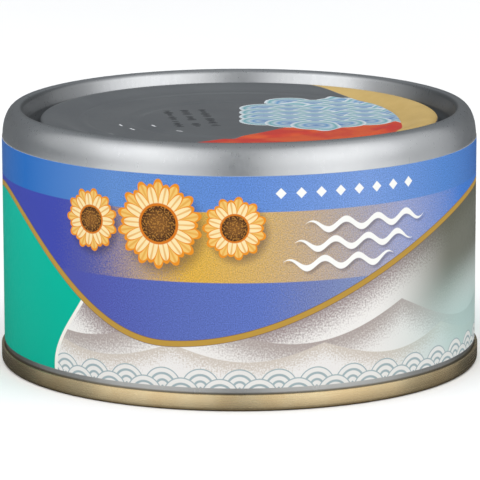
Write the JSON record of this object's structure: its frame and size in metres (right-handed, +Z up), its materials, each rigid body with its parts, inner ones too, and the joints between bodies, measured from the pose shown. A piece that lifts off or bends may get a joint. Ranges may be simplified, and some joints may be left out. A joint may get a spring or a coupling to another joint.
{
  "type": "tuna can",
  "caption": "Shut round food can: satin silver drawn body with a rounded shoulder and a recessed ringed top panel, a printed paper wrap label and a gold lacquered seamed base.",
  "frame": {"origin": "centre of the standing ring of the seamed base, on the floor", "axes": "+Z up along the can's axis, -Y towards the middle of the label's front, +X to the right of someone facing the front"},
  "size_m": [0.0874, 0.0874, 0.0466],
  "materials": {
    "silver_steel": "satin",
    "label_paper": "satin",
    "gold_lacquer": "satin"
  },
  "bodies": {
    "root": {"can_body": "silver_steel", "paper_label": "label_paper", "base_end": "gold_lacquer"}
  },
  "joints": []
}
